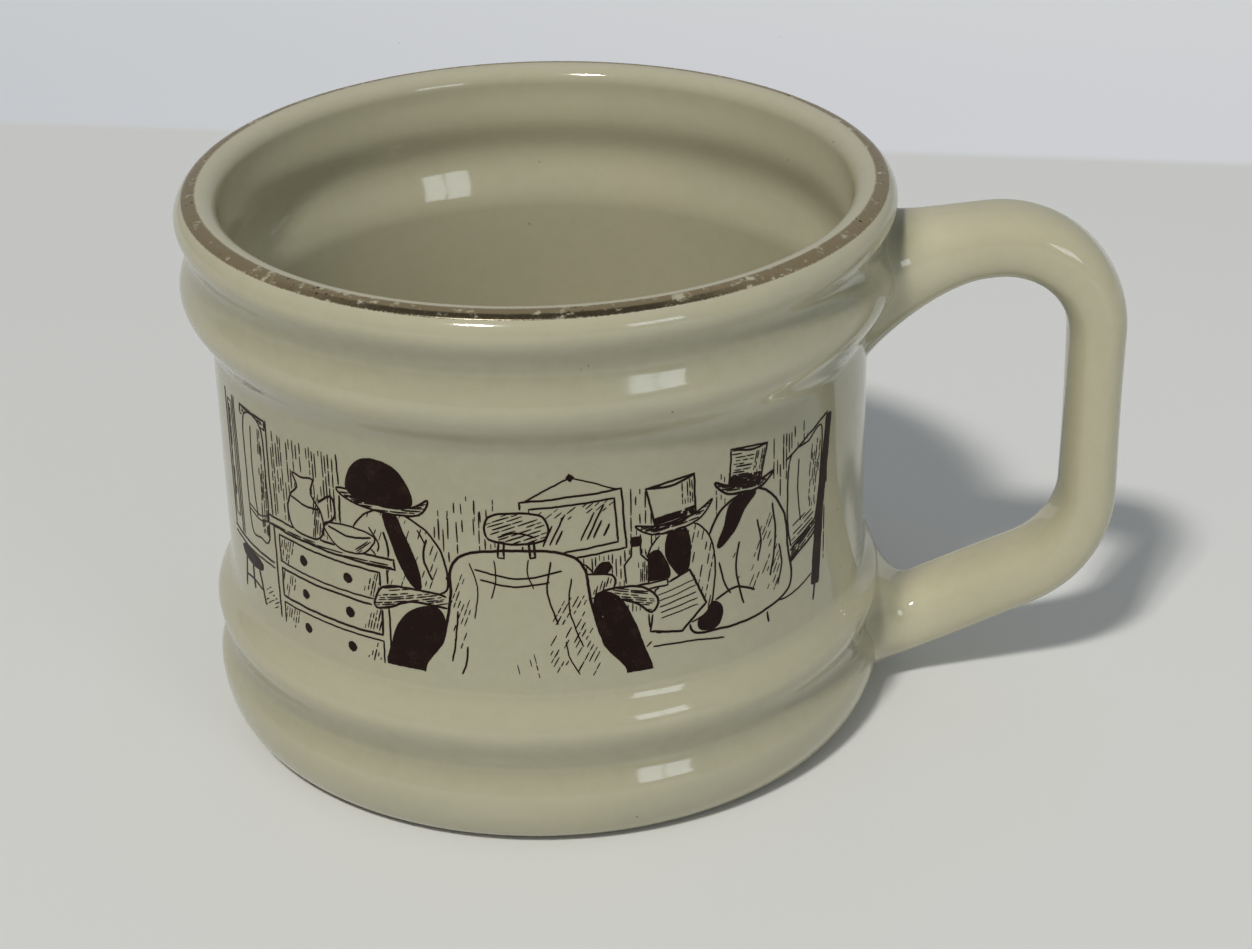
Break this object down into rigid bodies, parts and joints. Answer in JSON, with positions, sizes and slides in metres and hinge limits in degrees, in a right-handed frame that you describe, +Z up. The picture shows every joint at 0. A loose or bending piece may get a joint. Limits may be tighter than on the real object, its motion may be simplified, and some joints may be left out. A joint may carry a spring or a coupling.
{
  "type": "shaving mug",
  "caption": "Low, wide ceramic shaving mug with rounded rings at rim and base, a squared loop handle, a worn gilt rim line and a brown line print round the front of its plain waist.",
  "frame": {"origin": "on the surface that the mug stands on, under the middle of its overall box; the round body's axis stands 17.3 mm from it towards -X", "axes": "+Z up through the open mouth, +X from the body towards the handle, -Y out of the printed front"},
  "size_m": [0.1403, 0.1056, 0.0843],
  "materials": {
    "cream_glaze": "glossy cream glaze",
    "slip": "fired slip under clear glaze",
    "worn_gilt": "fired lustre, rubbed and scuffed",
    "ink_print": "fired ceramic transfer ink"
  },
  "bodies": {
    "root": {"mug_body": "cream_glaze", "handle": "cream_glaze", "upper_slip_joint": "slip", "lower_slip_joint": "slip", "gilt_rim_band": "worn_gilt", "transfer_print": "ink_print"}
  },
  "joints": []
}
